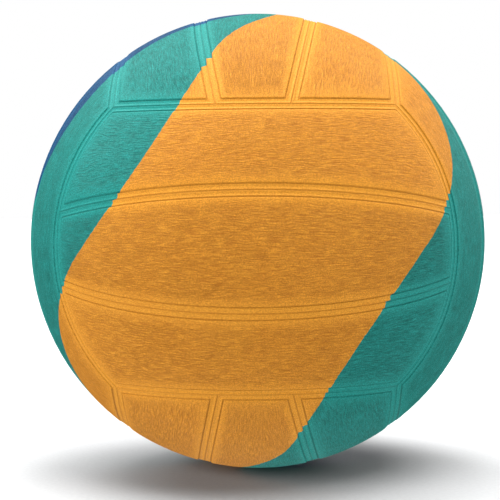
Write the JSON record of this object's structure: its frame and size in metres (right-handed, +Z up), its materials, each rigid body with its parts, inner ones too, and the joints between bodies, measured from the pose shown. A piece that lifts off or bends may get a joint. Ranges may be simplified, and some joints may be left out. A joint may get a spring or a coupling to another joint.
{
  "type": "water polo ball",
  "caption": "Hollow rubber water polo ball with swirled colour sheets, moulded triple-groove seams, a wound yarn layer, a bladder and a needle valve.",
  "frame": {"origin": "centre of the ball", "axes": "+Z up through the point where the coloured sheets meet, -Y towards the pictured front, +Y out of the valve"},
  "size_m": [0.22, 0.2198, 0.22],
  "materials": {
    "cover_orange": "matte moulded rubber with a fine streaked grip texture",
    "cover_teal": "matte moulded rubber with a fine streaked grip texture",
    "cover_blue": "matte moulded rubber with a fine streaked grip texture",
    "black_rubber": "matte black rubber",
    "nylon_yarn": "wound nylon yarn set in rubber cement",
    "butyl_rubber": "smooth black butyl rubber",
    "valve_rubber": "smooth black rubber"
  },
  "bodies": {
    "root": {"cover_front": "cover_orange", "cover_left": "cover_teal", "cover_right": "cover_teal", "cover_back": "cover_blue", "undercover": "black_rubber", "nylon_winding": "nylon_yarn", "bladder": "butyl_rubber", "valve_housing": "valve_rubber", "valve_core": "valve_rubber", "balance_patch": "black_rubber"}
  },
  "joints": []
}
